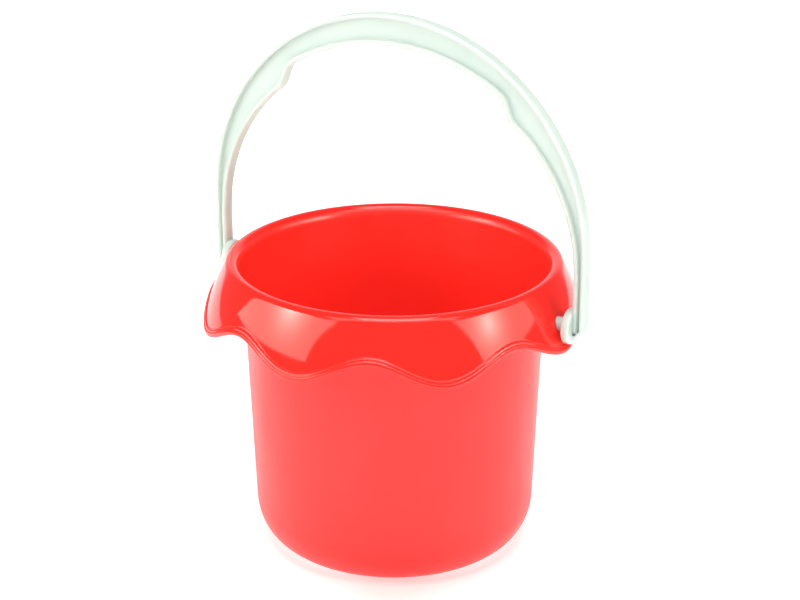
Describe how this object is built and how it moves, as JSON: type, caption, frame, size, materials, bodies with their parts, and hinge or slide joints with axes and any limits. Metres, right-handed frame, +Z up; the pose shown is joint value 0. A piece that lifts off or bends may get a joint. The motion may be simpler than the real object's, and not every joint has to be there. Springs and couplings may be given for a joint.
{
  "type": "sand bucket",
  "caption": "Child's sand bucket with a rolled lip, a scalloped skirt outside it, and an arched handle that swings on pegs snapped through the skirt.",
  "frame": {"origin": "centre of the bucket's base, on the surface it stands on", "axes": "+Z up, along the bucket's axis; X along the handle's pivot axis; the handle stands in the XZ plane at rest"},
  "size_m": [0.211, 0.194, 0.2725],
  "materials": {
    "bucket_plastic": "glossy skirt and lip, satin wall",
    "handle_plastic": "semi-gloss, slightly translucent"
  },
  "bodies": {
    "bucket": {"bucket": "bucket_plastic", "skirt": "bucket_plastic"},
    "handle": {"handle": "handle_plastic"}
  },
  "joints": [
    {"name": "handle_swing", "type": "hinge", "parent": "bucket", "child": "handle", "pos_m": [0, 0, 0.132], "axis": [1, 0, 0], "range_deg": [-140, 140]}
  ]
}
